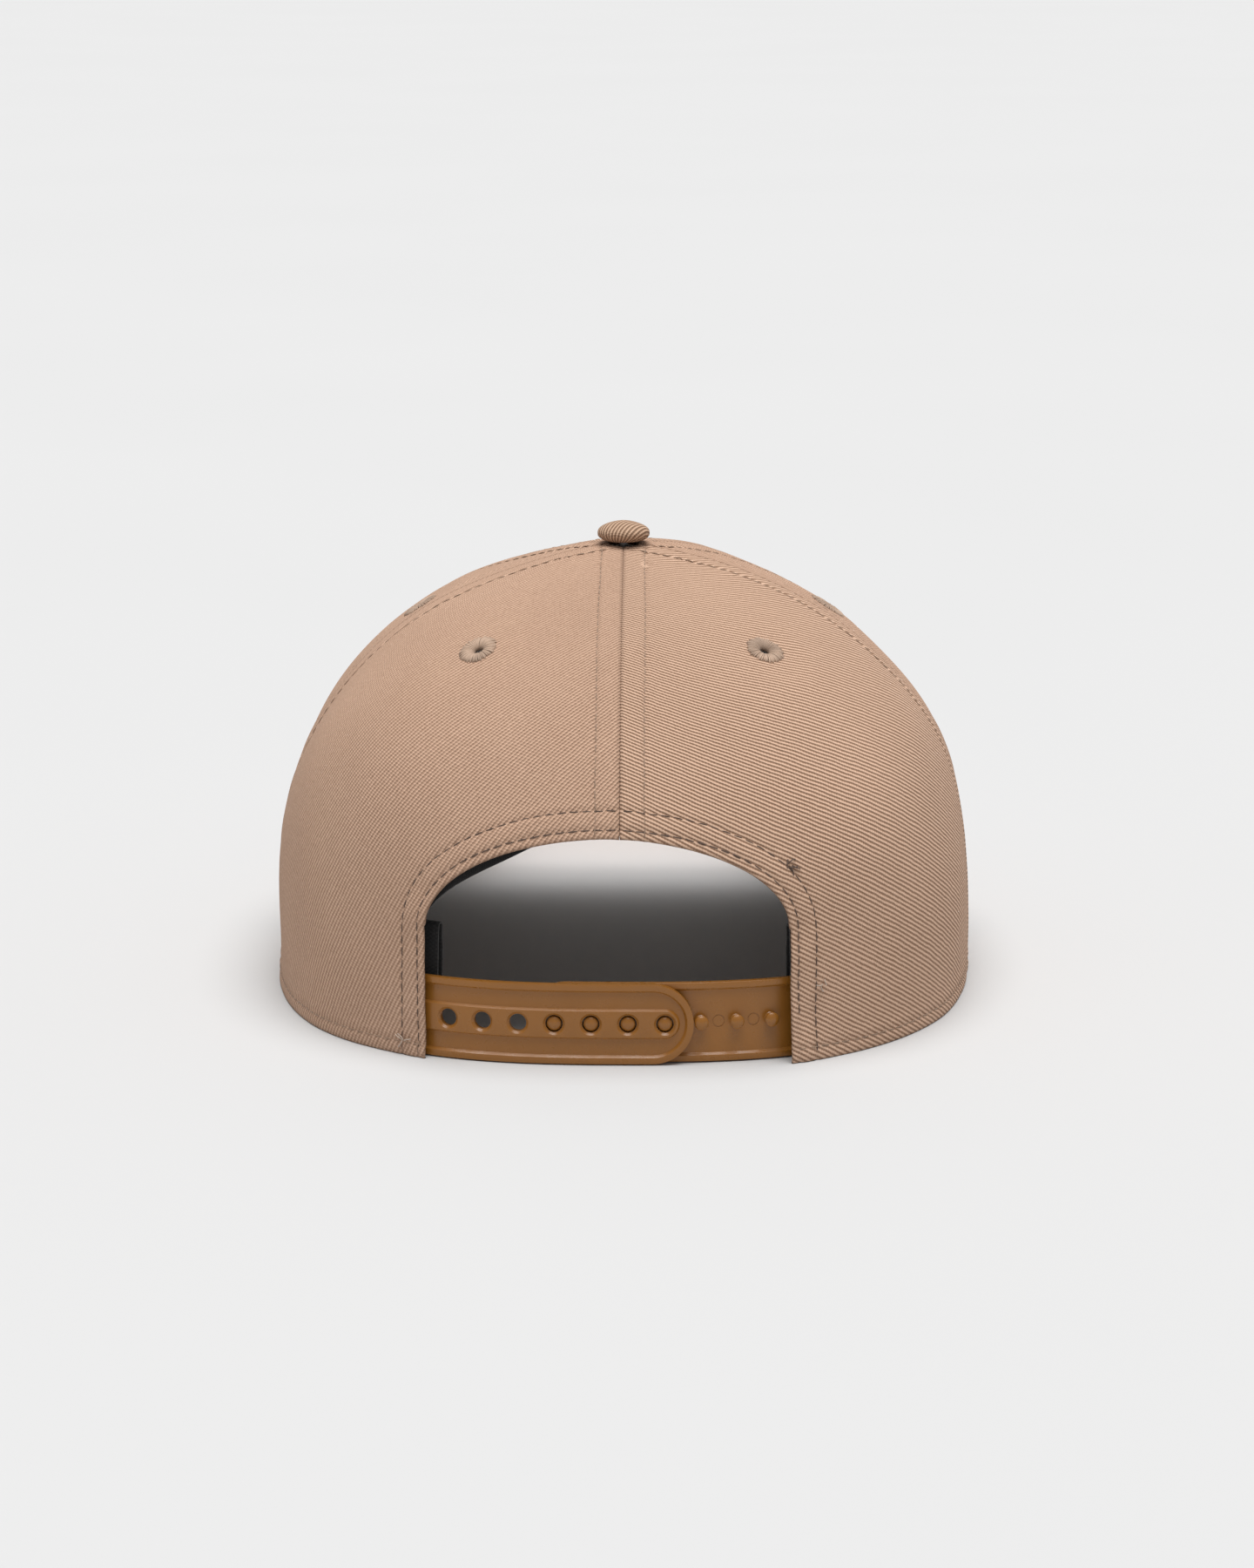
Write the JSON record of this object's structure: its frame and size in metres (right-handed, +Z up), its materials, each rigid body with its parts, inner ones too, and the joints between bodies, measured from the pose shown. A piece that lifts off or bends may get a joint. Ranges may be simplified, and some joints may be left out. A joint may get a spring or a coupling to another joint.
{
  "type": "baseball cap",
  "caption": "Structured baseball cap in tan cotton twill with a curved visor, an arched rear opening and an adjustable plastic snap strap.",
  "frame": {"origin": "middle of the head opening, in the plane that the rim stands on", "axes": "-Y forwards to the visor, +Y back to the strap, +X to the wearer's left, +Z up"},
  "size_m": [0.1896, 0.2687, 0.1197],
  "materials": {
    "twill": "tan cotton twill, matte with a fine diagonal rib",
    "lining": "black woven tape and sweatband cloth, matte",
    "buckram": "white stiffened gauze, matte",
    "snap": "toffee brown moulded plastic, satin",
    "thread": "tan embroidery and sewing thread, slight sheen",
    "board": "off-white plastic sheet, satin",
    "metal": "plated steel, satin"
  },
  "bodies": {
    "cap": {"front_panel": "twill", "side_panel_left": "twill", "side_panel_right": "twill", "rear_panel_left": "twill", "rear_panel_right": "twill", "visor_top_cover": "twill", "visor_under_cover": "twill", "button_cover": "twill", "seam_tape_front_left": "lining", "seam_tape_front_right": "lining", "seam_tape_side_left": "lining", "seam_tape_side_right": "lining", "seam_tape_rear": "lining", "opening_facing": "lining", "sweatband": "lining", "front_buckram": "buckram", "sweatband_core": "buckram", "visor_board": "board", "snap_strap_holes_root": "snap", "snap_strap_pegs_root": "snap", "eyelet_rear_left": "thread", "eyelet_rear_right": "thread", "eyelet_side_left": "thread", "eyelet_side_right": "thread", "button_shell": "metal", "button_stud": "metal", "button_washer": "metal"},
    "strap_with_holes": {"snap_strap_holes": "snap"},
    "strap_with_pegs": {"snap_strap_pegs": "snap"}
  },
  "joints": [
    {"name": "holes_strap_flex", "type": "hinge", "parent": "cap", "child": "strap_with_holes", "pos_m": [0.04691, 0.09032, 0.0106], "axis": [0, 0, -1], "range_deg": [0, 55], "stiffness_Nm_per_rad": 0.01},
    {"name": "pegs_strap_flex", "type": "hinge", "parent": "cap", "child": "strap_with_pegs", "pos_m": [-0.04004, 0.08942, 0.0106], "axis": [0, 0, -1], "range_deg": [0, 45], "stiffness_Nm_per_rad": 0.01}
  ]
}
